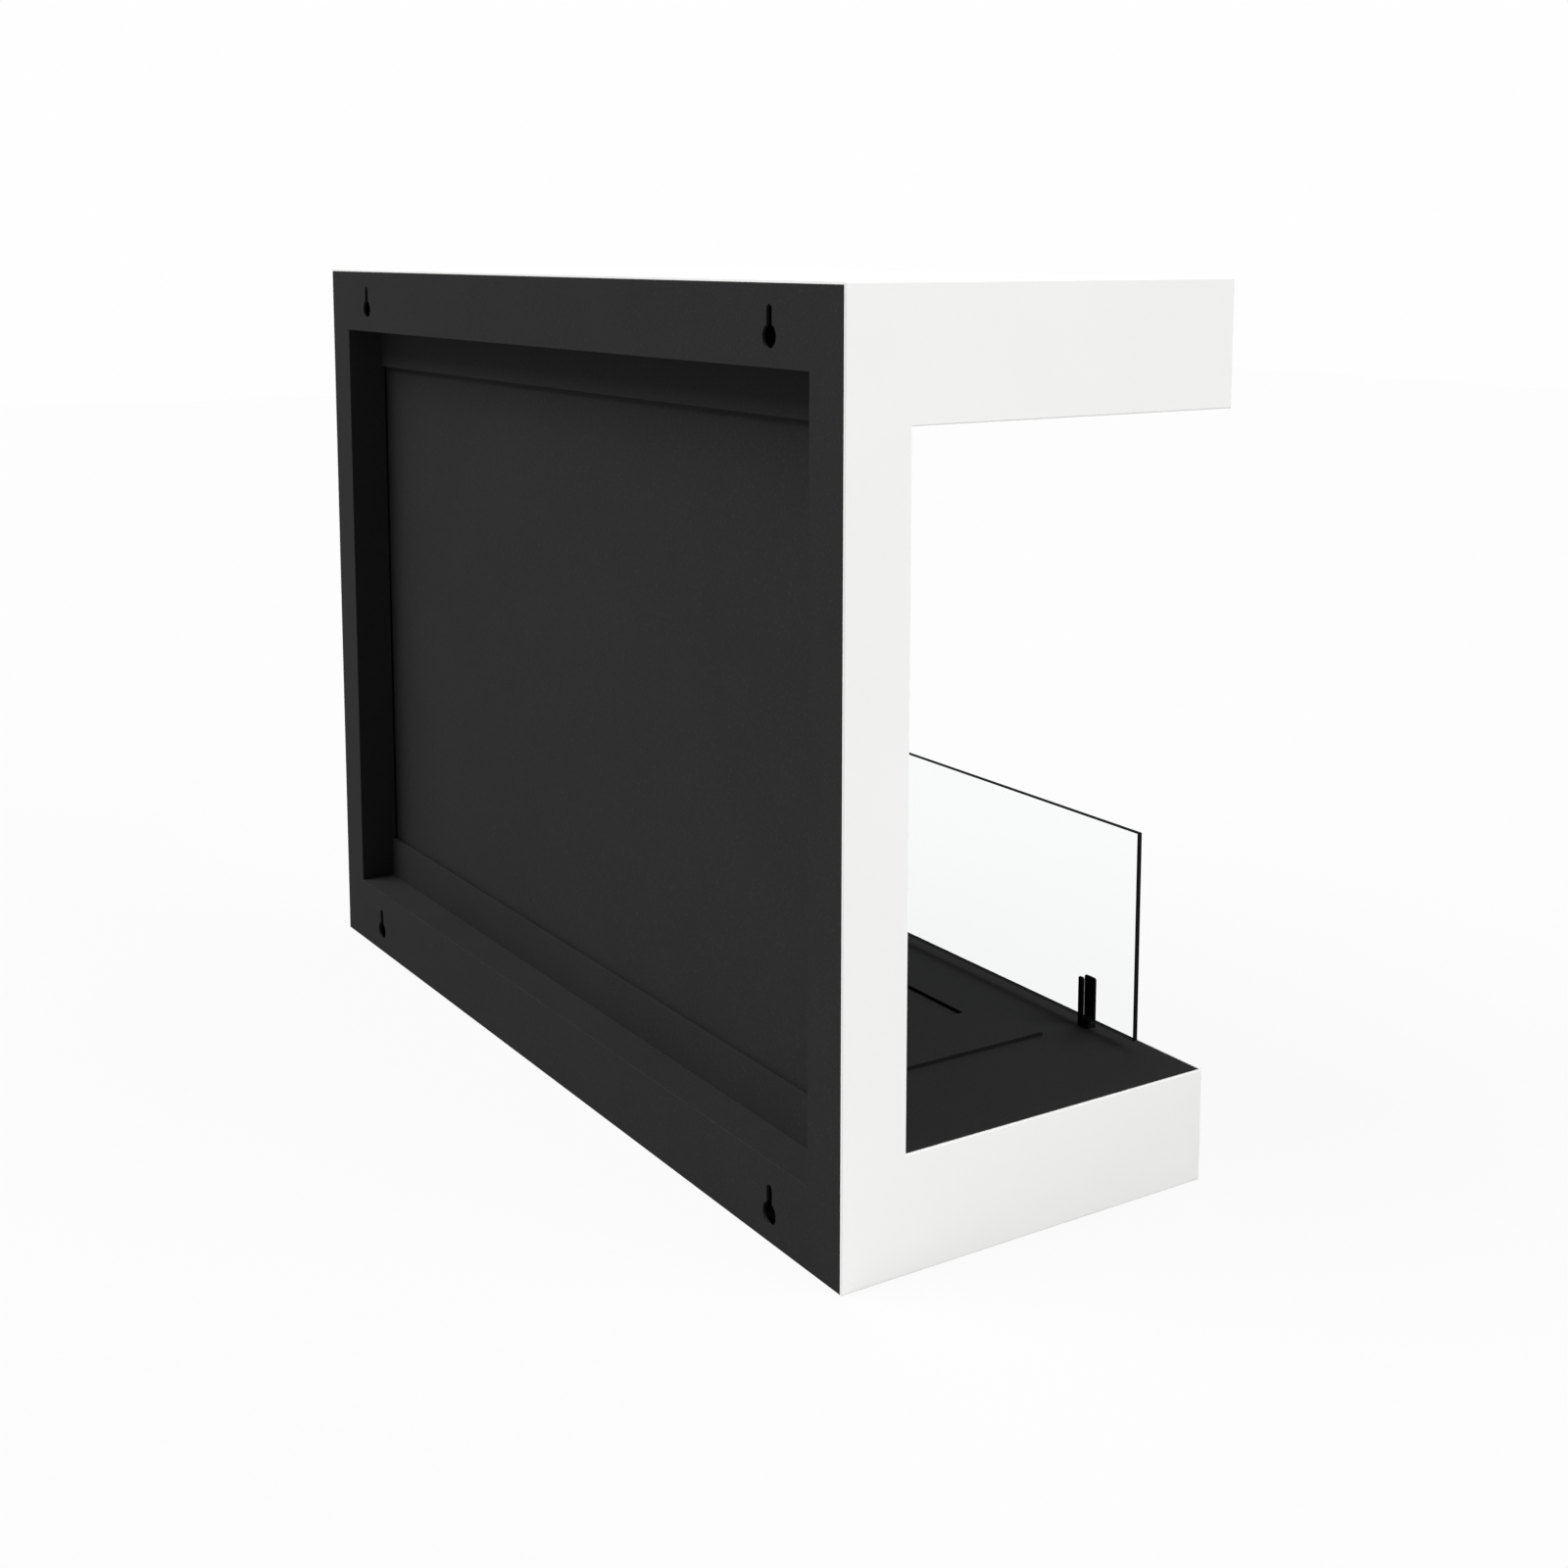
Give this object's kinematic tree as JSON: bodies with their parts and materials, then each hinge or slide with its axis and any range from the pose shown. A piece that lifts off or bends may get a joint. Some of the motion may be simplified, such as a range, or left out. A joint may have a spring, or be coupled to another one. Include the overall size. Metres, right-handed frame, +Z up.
{
  "type": "wall-mounted ethanol fireplace",
  "caption": "Wall-hung three-sided fireplace: white C-shaped casing, black rear frame with keyholes, lift-out ethanol burner with snuffer lid, and a clear glass screen in two holders.",
  "frame": {"origin": "on the base's lower face, in the middle of the width and of the depth", "axes": "+X along the width, to the right as seen from the front; +Y towards the wall; +Z up"},
  "size_m": [0.8, 0.3, 0.6],
  "materials": {
    "white_powder_coat": "satin white powder coat on steel sheet",
    "black_powder_coat": "matt fine-textured black heat-resistant powder coat",
    "zinc_plated_steel": "bright zinc plate",
    "black_fasteners": "black oxide",
    "stainless_steel": "brushed stainless",
    "aluminium_sheet": "mill finish aluminium sheet",
    "fibre_board": "pressed pale fibre board",
    "glass_fibre_tape": "black woven glass-fibre tape",
    "ceramic_wool": "white ceramic fibre",
    "clear_glass": "clear toughened glass with ground, blackened edges",
    "silicone_pad": "black silicone"
  },
  "bodies": {
    "casing": {"right_cheek": "white_powder_coat", "left_cheek": "white_powder_coat", "hood_top": "white_powder_coat", "hood_fascia": "white_powder_coat", "base_fascia": "white_powder_coat", "wall_frame": "black_powder_coat", "frame_nuts": "zinc_plated_steel", "hood_rear_panel": "black_powder_coat", "hood_ceiling": "black_powder_coat", "hood_crossmember_right": "zinc_plated_steel", "hood_crossmember_left": "zinc_plated_steel", "ceiling_screws": "black_fasteners", "hood_heat_shield": "aluminium_sheet", "shield_screws": "zinc_plated_steel", "base_rear_panel": "black_powder_coat", "base_deck": "black_powder_coat", "deck_nuts": "zinc_plated_steel", "deck_beam_right": "zinc_plated_steel", "deck_beam_left": "zinc_plated_steel", "base_bottom_pan": "white_powder_coat", "pan_screws": "stainless_steel", "pan_rivet_nuts": "zinc_plated_steel", "safety_tray": "zinc_plated_steel", "tray_stands": "zinc_plated_steel", "firebox_rear_panel": "black_powder_coat", "firebox_back_lining": "black_powder_coat", "insulation_board": "fibre_board", "lining_nuts": "black_fasteners", "panel_seal": "glass_fibre_tape", "right_glass_holder": "black_powder_coat", "left_glass_holder": "black_powder_coat", "holder_pads": "silicone_pad", "holder_screws": "zinc_plated_steel"},
    "burner_insert": {"burner_housing": "black_powder_coat", "fuel_tank": "stainless_steel", "tank_feet": "stainless_steel", "ceramic_wool": "ceramic_wool", "burner_top_plate": "black_powder_coat", "lid_ledge": "stainless_steel"},
    "snuffer_lid": {"burner_lid": "black_powder_coat", "lid_handle": "black_powder_coat", "handle_rivets": "black_fasteners"},
    "glass_screen": {"glass_pane": "clear_glass"}
  },
  "joints": [
    {"name": "burner_insert_lift", "type": "slide", "parent": "casing", "child": "burner_insert", "axis": [0, 0, 1], "range_m": [0, 0.07]},
    {"name": "lid_lift", "type": "slide", "parent": "burner_insert", "child": "snuffer_lid", "axis": [0, 0, 1], "range_m": [0, 0.08]},
    {"name": "glass_lift", "type": "slide", "parent": "casing", "child": "glass_screen", "axis": [0, 0, 1], "range_m": [0, 0.06]}
  ]
}
